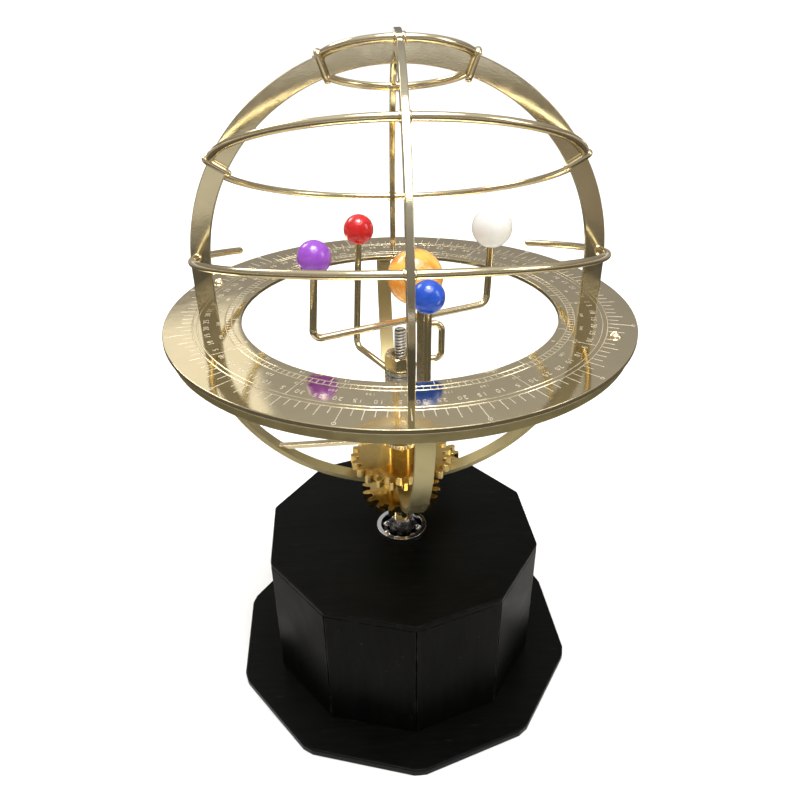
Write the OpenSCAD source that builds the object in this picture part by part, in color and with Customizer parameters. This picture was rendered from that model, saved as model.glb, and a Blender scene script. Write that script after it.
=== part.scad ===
// Desk orrery: a brass armillary dome and engraved ring on four bowl straps, planets on bent
// wires over a gear column, and a ball bearing in the top of a ten-sided black base.
// The origin is the centre of the underside of the base plate. +Z is up, the viewer is at -Y.

/* [Ring and dome] */
// Outer diameter of the engraved ring
ring_d = 150; // [140:1:160]
// Diameter of the opening in the ring
ring_hole_d = 102; // [96:1:106]
// Height of the ring's top face above the table
ring_top = 148.5; // [146:0.5:152]
// Thickness of the ring plate, and of the backing rim under it
ring_plate_t = 1.5; // [1.2:0.1:1.8]
// Height of the dome's centre above the ring
dome_rise = 13.5; // [12:0.5:15]
// Outer radius of the side-to-side dome band
band_side_r = 65.1; // [64.6:0.1:65.4]
// Outer radius of the front-to-back dome band
band_front_r = 68; // [67.6:0.1:68.4]
// Radial width of a dome band
band_w = 6; // [5.6:0.1:6.2]
// Thickness of a dome band
band_t = 2; // [1.6:0.1:2.2]
// Diameter of every bent wire
wire_d = 2.3; // [2:0.1:2.4]

/* [Bowl straps] */
// Outer radius of the bowl that the straps are bent to
bowl_r = 66; // [65:0.5:67]
// Width of a strap
strap_w = 5.4; // [5:0.1:6]
// Thickness of a strap
strap_t = 1.6; // [1.5:0.1:1.7]
// Turn of the straps about the axis, against the dome bands
strap_turn = 3.6; // [0:0.1:6]

/* [Gears] */
// Gear module
gear_m = 1.5; // [1.5]
// Teeth on the large gear of the planet column
big_teeth = 23; // [23]
// Teeth on the lower gear of the spindle
low_teeth = 18; // [18]
// Teeth on the lay gear
lay_teeth = 15; // [15]
// Teeth on the lay pinion
pinion_teeth = 10; // [10]
// Thickness of the gears
gear_t = 3; // [2.5:0.1:3]

/* [Planets] */
// Diameter of the sun ball
sun_d = 18; // [16:0.5:18]
// Diameter of the purple and the red ball
small_ball_d = 10.4; // [9:0.2:10.6]
// Diameter of the blue ball
blue_ball_d = 9.8; // [9:0.2:10.6]
// Diameter of the white ball
white_ball_d = 13.4; // [12:0.2:13.6]

/* [Base] */
// Corner-to-corner radius of the base body
body_r = 52.3; // [50:0.1:54]
// Corner-to-corner radius of the base plate
plate_r = 67.8; // [66:0.1:70]
// Height of the base, plate and lid included
base_h = 57; // [56:0.5:57.5]
// Thickness of the base plate
plate_t = 3; // [3:0.1:4]
// Thickness of the lid
lid_t = 2.2; // [2:0.1:2.6]
// Thickness of a side panel
panel_t = 4; // [3.5:0.1:5]
// Turn of the base's first corner
base_turn = 20.9; // [18:0.1:24]

/* [Hidden] */

smooth = 96;
wire_r = wire_d / 2;
run_gap = 0.05;
face_gap = 0.15;
brass = "#c9b67c";
gear_brass = "#c79f45";
steel = "#a9aaa4";
black_wood = "#1b1b1b";

// Ring
ring_r = ring_d / 2;
rim_bottom = ring_top - 2 * ring_plate_t;
rim_in_r = 57;
rim_out_r = ring_r - 1.5;
skirt_h = 2;
skirt_w = 2.5;
groove_w = 0.4;
groove_depth = 0.2;
groove_radii = [54, 56, 64.5, 66];
screw_angles = [-22.6, 157.4];
screw_r = 68.5;
screw_shank_r = 1;
screw_head_r = 2.2;

// Dome
dome_z = ring_top + dome_rise;
foot_w = 4;
lap_r = (band_side_r + band_front_r - band_w) / 2;
// Each wire: radius, forward and upward place of its centre from the ring, tilt
polar = [23.3, 8, 71.5, 21];
tropic = [57, 12.4, 42.1, 23.5];
equator = [63, 0, 18, 14.3];
equator_start = 150;
equator_sweep = 250;

// Bowl
bowl_in_r = bowl_r - strap_t;
flat_r = 10.5;
eye_r = 6.5;
strap_tab = 6;
side_flat_z = rim_bottom - sqrt(bowl_r * bowl_r - flat_r * flat_r);
front_flat_z = side_flat_z + strap_t;
rivet_r = 1;
rivet_head_r = 1.8;
rivet_head_t = 0.8;

// Axis stack, from the bottom up
rod_r = 2;
rod_bottom = 44;
rod_top = 140.8;
bearing_r = 9.5;
bearing_bore_r = 3;
bearing_t = 6;
bearing_top = base_h + 0.8;
bearing_bottom = bearing_top - bearing_t;
outer_race_in = 7.95;
inner_race_out = 4.9;
ball_r = 1.75;
ball_path_r = 6.25;
ball_count = 7;
washer_t = 0.8;
washer_r = 3.5;
nut_t = 3.2;
nut_flats = 7;
spacer_bottom = bearing_top + washer_t + nut_t;
low_gear_z = 72.5;
hub_r = 4.5;
bush_r = 3.5;
bush_flange_r = 5;
bush_flange_t = 1.2;
arm_t = 1.6;
arm_z = front_flat_z + strap_t;
bush_top = arm_z + arm_t + bush_flange_t;
tube_bottom = bush_top + 0.2;
tube_r = 4.25;
tube_neck_r = 3;
tube_shoulder = ring_top - 31;
tube_top = ring_top - 19;
big_gear_z = 87.5;
bridge_z = 96.5;
bridge_t = 1.5;
bridge_ring_r = 6.5;
bridge_bar_w = 2.2;

// Lay shaft, behind the column and between the right and the rear strap
lay_angle = 58 + strap_turn;
lay_dist = gear_m * (big_teeth + pinion_teeth) / 2;
lay_r = 1.5;
lay_bottom = 71.5;
lay_top = 100.5;
lay_lug_r = 4;
pinion_t = 4;
pinion_z = 87;
collar_r = 2.8;
collar_t = 1.5;

// Gear teeth
pressure = 20;
addendum = 0.8;
dedendum = 1.2;
tooth_thinning = 0.2;
flank_steps = 4;

// Arms and planets, placed from the ring's top
eye_in_r = 3.05;
eye_path_r = eye_in_r + wire_r;
blue_level = ring_top - 29.8;
red_level = ring_top - 26.5;
cross_level = ring_top - 5.2;
over_blue = blue_level + wire_r + run_gap;
over_red = red_level + wire_r + run_gap;
arm_washer_r = 5.4;
arm_washer_t = 0.9;
collar_washer_r = 4;
tube_nut_flats = 9.6;
tube_nut_z = ring_top - 21.5;
tube_nut_t = 4.6;
tube_nut_turn = 15;
foot_z = ring_top - 22.3;
foot_t = 0.8;
// Each planet: reach of its arm, height up the leaning wire, lean inwards, sideways twist
cross_angle = 24;
purple_place = [30.3, 23.3, 4.8, 0];
white_place = [33.6, 24, -1.5, 0];
red_angle = 119.6;
red_place = [30.8, 41.4, 1.4, 2.5];
blue_angle = 283.2;
blue_place = [30, 41.9, 0, 0];
sun_centre = [5, 0, ring_top + 10.2];
sun_pin_x = 6.9;
sun_pin_r = 0.8;
post_x = 5.7;
post_w = 4.2;
post_y = 1.4;
post_t = 1.6;
post_top = ring_top - 0.5;
post_bottom = ring_top - 30;
pin_depth = 5;
bend_r = 3;
bend_gap = 4;
joint_gap = 0.2;
loop_wire_r = 1.1;
loop_out = 14.1;
loop_high = ring_top - 6.8;
loop_low = ring_top - 19.8;
loop_bend = 2.5;

// Base
first_panel = base_turn + 18;
panel_flat_r = body_r * cos(18);
base_screw_r = panel_flat_r - panel_t / 2;
plate_blunt = 0.8;
block_r = 20;
block_z = 40;
block_hole_r = 8;

function involute(base, t) = [
    base * (cos(t) + t * PI / 180 * sin(t)),
    base * (sin(t) - t * PI / 180 * cos(t))
];
function spin(p, a) = [p[0] * cos(a) - p[1] * sin(a), p[0] * sin(a) + p[1] * cos(a)];
function roll_at(base, r) = r <= base ? 0 : sqrt(r * r / (base * base) - 1) * 180 / PI;
function polar_angle(p) = atan2(p[1], p[0]);

// One involute gear with a tooth centred on the angle given
module gear(teeth, thickness, at) {
    pitch = gear_m * teeth / 2;
    base = pitch * cos(pressure);
    tip = pitch + addendum * gear_m;
    root = pitch - dedendum * gear_m;
    half = (PI * gear_m / 2 - tooth_thinning) / (2 * pitch) * 180 / PI;
    at_pitch = polar_angle(involute(base, roll_at(base, pitch)));
    steps = [for (i = [0:flank_steps]) roll_at(base, tip) * i / flank_steps];
    low_side = [for (t = steps) spin(involute(base, t), -half - at_pitch)];
    high_side = [for (i = [flank_steps:-1:0]) [low_side[i][0], -low_side[i][1]]];
    foot = base > root ? [spin([root, 0], polar_angle(low_side[0]))] : [];
    foot_end = base > root ? [[foot[0][0], -foot[0][1]]] : [];
    tooth = concat(foot, low_side, high_side, foot_end);
    outline = [for (k = [0:teeth - 1]) for (p = tooth) spin(p, at + 360 * k / teeth)];
    linear_extrude(thickness) polygon(outline);
}

// A round wire bent to part of a circle that lies flat
module wire_arc(path_r, r, start, sweep) {
    rotate([0, 0, start])
        rotate_extrude(angle = sweep, $fn = smooth)
            translate([path_r, 0]) circle(r, $fn = 32);
}

module rod(r, length) { cylinder(h = length, r = r, $fn = 48); }

module disc(r, thickness, bore) {
    difference() {
        cylinder(h = thickness, r = r, $fn = smooth);
        translate([0, 0, -1]) cylinder(h = thickness + 2, r = bore, $fn = smooth);
    }
}

module hex_nut(flats, height, bore) {
    difference() {
        intersection() {
            cylinder(h = height, r = flats / sqrt(3), $fn = 6);
            rotate_extrude($fn = smooth)
                polygon([
                    [0, 0], [flats * 0.52, 0], [flats * 0.59, flats * 0.06],
                    [flats * 0.59, height - flats * 0.06], [flats * 0.52, height], [0, height]
                ]);
        }
        translate([0, 0, -1]) cylinder(h = height + 2, r = bore, $fn = 48);
    }
}

module decagon(r) { rotate(base_turn) circle(r, $fn = 10); }

// ---- Base ----
module base_plate() {
    color(black_wood)
    difference() {
        linear_extrude(plate_t) intersection() {
            decagon(plate_r);
            circle(plate_r - plate_blunt, $fn = smooth);
        }
        base_screw_places() {
            translate([0, 0, -1]) cylinder(h = plate_t + 2, r = 1.25, $fn = 32);
            cylinder(h = 1.4, r1 = 2.6, r2 = 1.25, $fn = 32);
        }
    }
}

module base_screw_places() {
    for (k = [0:2:8])
        rotate([0, 0, first_panel + 36 * k]) translate([base_screw_r, 0, 0]) children();
}

module base_screws() {
    color(steel) base_screw_places() {
        cylinder(h = 1.4, r1 = 2.6, r2 = 1.25, $fn = 32);
        translate([0, 0, 1]) cylinder(h = 13, r = 1.25, $fn = 32);
    }
}

// Ten separate boards, mitred at the corners with a fine open joint
module side_panels() {
    joint = 0.15;
    half_out = body_r * sin(18) - joint;
    half_in = half_out - panel_t * tan(18);
    color(black_wood)
    for (k = [0:9])
        difference() {
            rotate([0, 0, first_panel + 36 * k])
                translate([0, 0, plate_t])
                    linear_extrude(base_h - lid_t - plate_t)
                        polygon([
                            [panel_flat_r, -half_out], [panel_flat_r, half_out],
                            [panel_flat_r - panel_t, half_in], [panel_flat_r - panel_t, -half_in]
                        ]);
            if (k % 2 == 0)
                rotate([0, 0, first_panel + 36 * k])
                    translate([base_screw_r, 0, plate_t - 1]) cylinder(h = 12, r = 1.25, $fn = 32);
        }
}

module base_lid() {
    color(black_wood)
    translate([0, 0, base_h - lid_t])
        difference() {
            linear_extrude(lid_t) decagon(body_r);
            translate([0, 0, -1]) cylinder(h = lid_t + 2, r = bearing_r, $fn = smooth);
        }
}

module bearing_block() {
    color(black_wood)
    difference() {
        translate([0, 0, block_z]) cylinder(h = base_h - lid_t - block_z, r = block_r, $fn = smooth);
        translate([0, 0, bearing_bottom]) cylinder(h = 20, r = bearing_r, $fn = smooth);
        translate([0, 0, block_z - 1]) cylinder(h = 20, r = block_hole_r, $fn = smooth);
    }
}

// ---- Ball bearing, 19 outside, 6 bore, 6 wide ----
module ball_groove(r) {
    translate([0, 0, bearing_bottom + bearing_t / 2])
        rotate_extrude($fn = smooth) translate([ball_path_r, 0]) circle(r, $fn = 32);
}

module bearing_outer_race() {
    color(steel) difference() {
        translate([0, 0, bearing_bottom]) disc(bearing_r, bearing_t, outer_race_in);
        ball_groove(ball_r + run_gap);
    }
}

module bearing_inner_race() {
    color(steel) difference() {
        translate([0, 0, bearing_bottom]) disc(inner_race_out, bearing_t, bearing_bore_r);
        ball_groove(ball_r + run_gap);
    }
}

module each_ball() {
    for (k = [0:ball_count - 1])
        rotate([0, 0, 360 * k / ball_count])
            translate([ball_path_r, 0, bearing_bottom + bearing_t / 2]) children();
}

module bearing_balls() { color(steel) each_ball() sphere(ball_r, $fn = 48); }

module bearing_retainer() {
    color(steel) difference() {
        translate([0, 0, bearing_bottom + bearing_t / 2 - 1]) disc(6.9, 2, 5.6);
        each_ball() sphere(ball_r + 2 * run_gap, $fn = 48);
    }
}

// ---- Spindle ----
module spindle_rod() {
    color(steel) translate([0, 0, rod_bottom]) {
        rod(rod_r, rod_top - rod_bottom - 0.6);
        translate([0, 0, rod_top - rod_bottom - 0.6])
            cylinder(h = 0.6, r1 = rod_r, r2 = rod_r - 0.5, $fn = 48);
    }
}

module spindle_sleeve() {
    color(steel) translate([0, 0, bearing_bottom]) disc(bearing_bore_r, bearing_t, rod_r);
}

module spindle_washers() {
    color(steel) for (z = [bearing_bottom - washer_t, bearing_top])
        translate([0, 0, z]) disc(washer_r, washer_t, rod_r);
}

module spindle_nuts() {
    color(steel) for (z = [bearing_bottom - washer_t - nut_t, bearing_top + washer_t])
        translate([0, 0, z]) hex_nut(nut_flats, nut_t, rod_r);
}

module spindle_spacer() {
    h = low_gear_z - spacer_bottom;
    color(gear_brass) translate([0, 0, spacer_bottom])
        rotate_extrude($fn = smooth)
            polygon([[rod_r, 0], [2.6, 0], [2.6, 2.5], [hub_r, 8], [hub_r, h], [rod_r, h]]);
}

module lower_gear() {
    color(gear_brass) difference() {
        union() {
            translate([0, 0, low_gear_z]) gear(low_teeth, gear_t, lay_angle + 180 / low_teeth);
            translate([0, 0, low_gear_z])
                cylinder(h = side_flat_z - face_gap - low_gear_z, r = hub_r, $fn = smooth);
        }
        translate([0, 0, low_gear_z - 1]) cylinder(h = 10, r = rod_r, $fn = 48);
    }
}

// ---- Ring ----
module ring_plate() {
    color(brass) difference() {
        translate([0, 0, ring_top - ring_plate_t]) disc(ring_r, ring_plate_t, ring_hole_d / 2);
        for (r = groove_radii)
            translate([0, 0, ring_top - groove_depth])
                difference() {
                    cylinder(h = 1, r = r + groove_w / 2, $fn = smooth);
                    translate([0, 0, -1]) cylinder(h = 3, r = r - groove_w / 2, $fn = smooth);
                }
        band_feet();
        ring_screw_places() translate([0, 0, -10]) rod(screw_shank_r, 20);
    }
}

module ring_backing() {
    color(brass) difference() {
        union() {
            translate([0, 0, rim_bottom]) disc(rim_out_r, ring_plate_t, rim_in_r);
            translate([0, 0, rim_bottom - skirt_h])
                disc(rim_out_r, skirt_h + ring_plate_t / 2, rim_out_r - skirt_w);
        }
        ring_screw_places() translate([0, 0, -10]) rod(screw_shank_r, 20);
        rivet_places() translate([0, 0, -10]) rod(rivet_r, 20);
    }
}

module ring_screw_places() {
    for (a = screw_angles) rotate([0, 0, a]) translate([screw_r, 0, ring_top]) children();
}

module ring_screws() {
    color(brass) ring_screw_places() {
        translate([0, 0, -2 * ring_plate_t]) rod(screw_shank_r, 2 * ring_plate_t);
        intersection() {
            translate([0, 0, -1.1]) sphere(sqrt(screw_head_r * screw_head_r + 1.21), $fn = 48);
            cylinder(h = 3, r = screw_head_r, $fn = 48);
        }
    }
}

// ---- Dome ----
module arch(outer) {
    intersection() {
        difference() {
            circle(outer, $fn = 2 * smooth);
            circle(outer - band_w, $fn = 2 * smooth);
        }
        translate([-outer, 0]) square([2 * outer, outer]);
    }
    for (side = [-1, 1])
        translate([side * (outer - band_w / 2) - band_w / 2, -dome_rise]) square([band_w, dome_rise]);
}

module upright_plate(thickness) {
    rotate([90, 0, 0]) translate([0, 0, -thickness / 2]) linear_extrude(thickness) children();
}

module foot(outer) {
    for (side = [-1, 1])
        translate([side * (outer - band_w / 2) - foot_w / 2, -band_t / 2, ring_top - ring_plate_t])
            cube([foot_w, band_t, ring_plate_t]);
}

module band_feet() {
    foot(band_side_r);
    rotate([0, 0, 90]) foot(band_front_r);
}

module dome_wires() {
    placed_wire(polar) wire_arc(polar[0], wire_r, 0, 360);
    placed_wire(tropic) wire_arc(tropic[0], wire_r, 0, 360);
    equator_shape();
}

module side_band() {
    color(brass) {
        difference() {
            translate([0, 0, dome_z]) upright_plate(band_t) arch(band_side_r);
            translate([-band_t / 2, -band_t, dome_z + lap_r]) cube([band_t, 2 * band_t, 10]);
            dome_wires();
        }
        foot(band_side_r);
    }
}

module front_band() {
    color(brass) {
        difference() {
            rotate([0, 0, 90]) translate([0, 0, dome_z]) upright_plate(band_t) arch(band_front_r);
            translate([-band_t, -band_t / 2, dome_z + lap_r - 10]) cube([2 * band_t, band_t, 10]);
            dome_wires();
        }
        rotate([0, 0, 90]) foot(band_front_r);
    }
}

module placed_wire(w) {
    translate([0, w[1], ring_top + w[2]]) rotate([-w[3], 0, 0]) children();
}

module polar_wire() { color(brass) placed_wire(polar) wire_arc(polar[0], wire_r, 0, 360); }

module tropic_wire() { color(brass) placed_wire(tropic) wire_arc(tropic[0], wire_r, 0, 360); }

module equator_shape() {
    placed_wire(equator) wire_arc(equator[0], wire_r, equator_start, equator_sweep);
}

module equator_wire() { color(brass) equator_shape(); }

// ---- Bowl straps ----
module strap_outline(outer, flat) {
    difference() {
        intersection() {
            difference() {
                translate([0, rim_bottom]) circle(outer, $fn = 2 * smooth);
                translate([0, rim_bottom]) circle(outer - strap_t, $fn = 2 * smooth);
            }
            translate([-outer, rim_bottom - outer]) square([2 * outer, outer]);
        }
        translate([-flat_r, 0]) square([2 * flat_r, rim_bottom]);
    }
    translate([-flat_r - 0.1, flat]) square([2 * flat_r + 0.2, strap_t]);
    for (side = [-1, 1])
        translate([side * (outer - strap_tab / 2) - strap_tab / 2, rim_bottom - strap_t])
            square([strap_tab, strap_t]);
}

module strap(outer, flat) {
    difference() {
        union() {
            upright_plate(strap_w) strap_outline(outer, flat);
            translate([0, 0, flat]) cylinder(h = strap_t, r = eye_r, $fn = smooth);
        }
        translate([0, 0, flat - 1]) cylinder(h = strap_t + 2, r = bush_r, $fn = smooth);
    }
}

module side_strap() {
    color(brass) difference() {
        rotate([0, 0, strap_turn]) strap(bowl_r, side_flat_z);
        rivet_places() translate([0, 0, -10]) rod(rivet_r, 20);
    }
}

module front_strap() {
    color(brass) difference() {
        rotate([0, 0, strap_turn + 90]) strap(bowl_in_r, front_flat_z);
        rivet_places() translate([0, 0, -10]) rod(rivet_r, 20);
    }
}

module rivet_places() {
    for (k = [0:3])
        rotate([0, 0, strap_turn + 90 * k])
            translate([(k % 2 == 0 ? bowl_r : bowl_in_r) - strap_tab + 2, 0, rim_bottom - strap_t])
                children();
}

module strap_rivets() {
    color(brass) rivet_places() {
        rod(rivet_r, strap_t + ring_plate_t);
        translate([0, 0, -rivet_head_t]) rod(rivet_head_r, rivet_head_t);
    }
}

// ---- Gear cage ----
module cage_bush() {
    color(gear_brass) translate([0, 0, side_flat_z]) difference() {
        union() {
            cylinder(h = bush_top - side_flat_z, r = bush_r, $fn = smooth);
            translate([0, 0, arm_z + arm_t - side_flat_z])
                cylinder(h = bush_flange_t, r = bush_flange_r, $fn = smooth);
        }
        translate([0, 0, -1]) cylinder(h = 20, r = rod_r + run_gap, $fn = 48);
    }
}

module bar(from_r, to_r, width, thickness) {
    translate([from_r, -width / 2, 0]) cube([to_r - from_r, width, thickness]);
}

module lay_arm() {
    color(brass) translate([0, 0, arm_z]) rotate([0, 0, lay_angle]) difference() {
        union() {
            cylinder(h = arm_t, r = eye_r, $fn = smooth);
            translate([lay_dist, 0, 0]) cylinder(h = arm_t, r = lay_lug_r, $fn = smooth);
            bar(0, lay_dist, strap_w, arm_t);
        }
        translate([0, 0, -1]) cylinder(h = arm_t + 2, r = bush_r, $fn = smooth);
        translate([lay_dist, 0, -1]) cylinder(h = arm_t + 2, r = lay_r + run_gap, $fn = 48);
    }
}

module gear_bridge() {
    color(brass) intersection() {
        translate([0, 0, bridge_z]) difference() {
            union() {
                cylinder(h = bridge_t, r = bridge_ring_r, $fn = smooth);
                rotate([0, 0, lay_angle]) {
                    translate([lay_dist, 0, 0]) cylinder(h = bridge_t, r = lay_lug_r, $fn = smooth);
                    bar(0, lay_dist, strap_w, bridge_t);
                }
                rotate([0, 0, 180 + strap_turn]) bar(0, 50, bridge_bar_w, bridge_t);
            }
            translate([0, 0, -1]) cylinder(h = bridge_t + 2, r = tube_r + run_gap, $fn = smooth);
            rotate([0, 0, lay_angle])
                translate([lay_dist, 0, -1]) cylinder(h = bridge_t + 2, r = lay_r + run_gap, $fn = 48);
        }
        rotate([0, 0, strap_turn]) translate([0, 0, rim_bottom]) rotate([90, 0, 0])
            translate([0, 0, -60]) cylinder(h = 120, r = bowl_in_r, $fn = 2 * smooth);
    }
}

// ---- Lay shaft ----
module at_lay() { rotate([0, 0, lay_angle]) translate([lay_dist, 0, 0]) children(); }

module lay_shaft() {
    color(steel) at_lay() translate([0, 0, lay_bottom]) rod(lay_r, lay_top - lay_bottom);
}

module lay_gear() {
    color(gear_brass) at_lay() difference() {
        translate([0, 0, low_gear_z]) gear(lay_teeth, gear_t, 180);
        translate([0, 0, low_gear_z - 1]) rod(lay_r, gear_t + 2);
    }
}

module lay_pinion() {
    color(gear_brass) at_lay() difference() {
        translate([0, 0, pinion_z]) gear(pinion_teeth, pinion_t, 180);
        translate([0, 0, pinion_z - 1]) rod(lay_r, pinion_t + 2);
    }
}

module lay_collars() {
    color(gear_brass) at_lay() for (z = [arm_z + arm_t + face_gap, bridge_z + bridge_t + face_gap])
        translate([0, 0, z]) disc(collar_r, collar_t, lay_r);
}

// ---- Planet column ----
module planet_tube() {
    color(gear_brass) difference() {
        union() {
            translate([0, 0, tube_bottom])
                cylinder(h = tube_shoulder - tube_bottom, r = tube_r, $fn = smooth);
            translate([0, 0, tube_bottom])
                cylinder(h = tube_top - tube_bottom, r = tube_neck_r, $fn = smooth);
        }
        translate([0, 0, tube_bottom - 1]) cylinder(h = 60, r = rod_r + run_gap, $fn = 48);
    }
}

module big_gear() {
    color(gear_brass) difference() {
        union() {
            translate([0, 0, big_gear_z]) gear(big_teeth, gear_t, lay_angle + 180 / big_teeth);
            translate([0, 0, big_gear_z - 0.7]) cylinder(h = 2, r = 6, $fn = smooth);
        }
        translate([0, 0, big_gear_z - 5]) cylinder(h = 10, r = tube_r, $fn = smooth);
    }
}

module arm_washers() {
    collar_z = over_red + 1.2;
    top_z = collar_z + arm_washer_t;
    color(steel) {
        translate([0, 0, over_blue]) disc(arm_washer_r, arm_washer_t, tube_neck_r);
        translate([0, 0, over_red]) disc(arm_washer_r, collar_z - over_red, tube_neck_r);
        translate([0, 0, collar_z]) disc(collar_washer_r, arm_washer_t, tube_neck_r);
        translate([0, 0, top_z]) disc(arm_washer_r, foot_z - top_z, tube_neck_r);
    }
}

module tube_nut() {
    color(gear_brass) translate([0, 0, tube_nut_z]) rotate([0, 0, tube_nut_turn])
        hex_nut(tube_nut_flats, tube_nut_t, tube_neck_r);
}

module sun_pin() {
    translate([sun_pin_x, post_y, post_top - 1]) rod(sun_pin_r, pin_depth + 4);
}

// A flat bar beside the tube, on a foot clamped under the nut
module sun_post() {
    color(brass) difference() {
        union() {
            translate([0, 0, foot_z]) cylinder(h = foot_t, r = arm_washer_r, $fn = smooth);
            translate([0, post_y - post_t / 2, foot_z]) cube([post_x + post_w, post_t, foot_t]);
            translate([post_x, post_y - post_t / 2, post_bottom])
                cube([post_w, post_t, post_top - post_bottom]);
            sun_pin();
        }
        translate([0, 0, foot_z - 1]) cylinder(h = foot_t + 2, r = tube_neck_r, $fn = smooth);
        cross_bar(wire_r);
    }
}

module sun_ball() {
    color("#e8a33a") difference() {
        translate(sun_centre) sphere(sun_d / 2, $fn = smooth);
        sun_pin();
    }
}

// A wire loop for a fingertip, soldered to the post
module finger_loop() {
    side = loop_high - loop_low - 2 * loop_bend;
    reach = loop_out - loop_bend - post_x - post_w;
    color(brass) translate([0, post_y, 0]) {
        for (z = [loop_low, loop_high])
            translate([post_x + post_w, 0, z]) rotate([0, 90, 0]) rod(loop_wire_r, reach);
        translate([loop_out, 0, loop_low + loop_bend]) rod(loop_wire_r, side);
        for (top = [0, 1])
            translate([loop_out - loop_bend, 0, top == 1 ? loop_high - loop_bend : loop_low + loop_bend])
                rotate([90, 0, 0]) wire_arc(loop_bend, loop_wire_r, top == 1 ? 0 : 270, 90);
    }
}

module cross_bar(r) {
    rotate([0, 0, cross_angle])
        translate([-purple_place[0] + bend_r + joint_gap, 0, cross_level]) rotate([0, 90, 0])
            rod(r, purple_place[0] + white_place[0] - 2 * bend_r - 2 * joint_gap);
}

// The centre of a bend whose arm runs along +X, turned for the sideways twist
module at_bend(place, level) {
    translate([place[0] - bend_r, 0, level]) rotate([place[3], 0, 0]) translate([0, 0, bend_r])
        children();
}

// The foot of a leaning upright, with +Z along it
module at_upright(place, level) {
    at_bend(place, level) rotate([0, -place[2], 0]) translate([bend_r, 0, 0]) children();
}

// A fine swelling where a straight wire and its bend are drawn together
module swelling() { sphere(wire_r + 0.05, $fn = 48); }

// The bend and upright that end an arm whose level part runs along +X
module arm_end(place, level, ball_d) {
    at_bend(place, level) {
        rotate([90, 0, 0]) wire_arc(bend_r, wire_r, 270 + bend_gap, 90 + place[2] - 2 * bend_gap);
        translate([0, 0, -bend_r]) swelling();
    }
    at_upright(place, level) {
        swelling();
        translate([0, 0, joint_gap]) rod(wire_r, place[1] - ball_d / 2 + pin_depth - joint_gap);
    }
}

module cross_wire() {
    color(brass) {
        cross_bar(wire_r);
        rotate([0, 0, cross_angle]) arm_end(white_place, cross_level, white_ball_d);
        rotate([0, 0, cross_angle + 180]) arm_end(purple_place, cross_level, small_ball_d);
    }
}

module ball(angle, place, level, d) {
    rotate([0, 0, angle]) at_upright(place, level) translate([0, 0, place[1]]) difference() {
        sphere(d / 2, $fn = smooth);
        translate([0, 0, -d / 2 - 1]) rod(wire_r, pin_depth + 1);
    }
}

module purple_ball() {
    color("purple") ball(cross_angle + 180, purple_place, cross_level, small_ball_d);
}

module white_ball() { color("white") ball(cross_angle, white_place, cross_level, white_ball_d); }

// An eye round the tube, a level wire and an upright
module eye_arm(angle, level, place, d) {
    rotate([0, 0, angle]) {
        translate([0, 0, level]) wire_arc(eye_path_r, wire_r, 0, 360);
        difference() {
            translate([eye_path_r - 0.4, 0, level]) rotate([0, 90, 0])
                rod(wire_r, place[0] - bend_r - joint_gap - eye_path_r + 0.4);
            translate([0, 0, level - 5]) cylinder(h = 10, r = eye_path_r - 0.3, $fn = 48);
        }
        arm_end(place, level, d);
    }
}

module red_wire() { color(brass) eye_arm(red_angle, red_level, red_place, small_ball_d); }

module red_ball() { color("red") ball(red_angle, red_place, red_level, small_ball_d); }

module blue_wire() { color(brass) eye_arm(blue_angle, blue_level, blue_place, blue_ball_d); }

module blue_ball() { color("blue") ball(blue_angle, blue_place, blue_level, blue_ball_d); }

base_plate();
side_panels();
base_lid();
bearing_block();
base_screws();
bearing_outer_race();
bearing_balls();
bearing_retainer();
bearing_inner_race();
spindle_rod();
spindle_sleeve();
spindle_washers();
spindle_nuts();
spindle_spacer();
lower_gear();
ring_plate();
ring_backing();
ring_screws();
side_band();
front_band();
polar_wire();
tropic_wire();
equator_wire();
side_strap();
front_strap();
strap_rivets();
cage_bush();
lay_arm();
gear_bridge();
lay_shaft();
lay_gear();
lay_pinion();
lay_collars();
planet_tube();
big_gear();
arm_washers();
tube_nut();
sun_post();
sun_ball();
finger_loop();
cross_wire();
purple_ball();
white_ball();
red_wire();
red_ball();
blue_wire();
blue_ball();
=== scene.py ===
"""Looks of the desk orrery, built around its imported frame.

Lengths are in millimetres until a mesh is made. The stage, lights and camera are in metres.
"""
import math

import bmesh
import bpy
from mathutils import Matrix, Vector


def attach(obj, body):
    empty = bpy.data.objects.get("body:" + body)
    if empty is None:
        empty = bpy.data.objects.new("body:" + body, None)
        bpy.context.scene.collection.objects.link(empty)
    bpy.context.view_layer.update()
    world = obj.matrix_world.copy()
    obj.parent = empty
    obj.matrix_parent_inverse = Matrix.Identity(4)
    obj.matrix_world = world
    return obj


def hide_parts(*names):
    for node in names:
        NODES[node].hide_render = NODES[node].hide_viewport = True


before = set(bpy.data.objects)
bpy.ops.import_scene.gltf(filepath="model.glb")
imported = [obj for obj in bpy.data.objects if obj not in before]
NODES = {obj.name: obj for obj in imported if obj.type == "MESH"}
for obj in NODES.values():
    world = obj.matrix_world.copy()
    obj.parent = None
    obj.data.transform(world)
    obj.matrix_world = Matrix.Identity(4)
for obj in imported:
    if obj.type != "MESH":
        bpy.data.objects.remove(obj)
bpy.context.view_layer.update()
MM = 0.001

# Sizes that the pieces share with the solid model
RING_TOP = 148.5
RING_R = 75.0
RING_HOLE_R = 51.0
RING_T = 1.5
GROOVES = (54.0, 56.0, 64.5, 66.0)
DOME_Z = RING_TOP + 13.5
SIDE_R = 65.1
FRONT_R = 68.0
BAND_W = 6.0
BAND_T = 2.0
WIRE_R = 1.15
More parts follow.
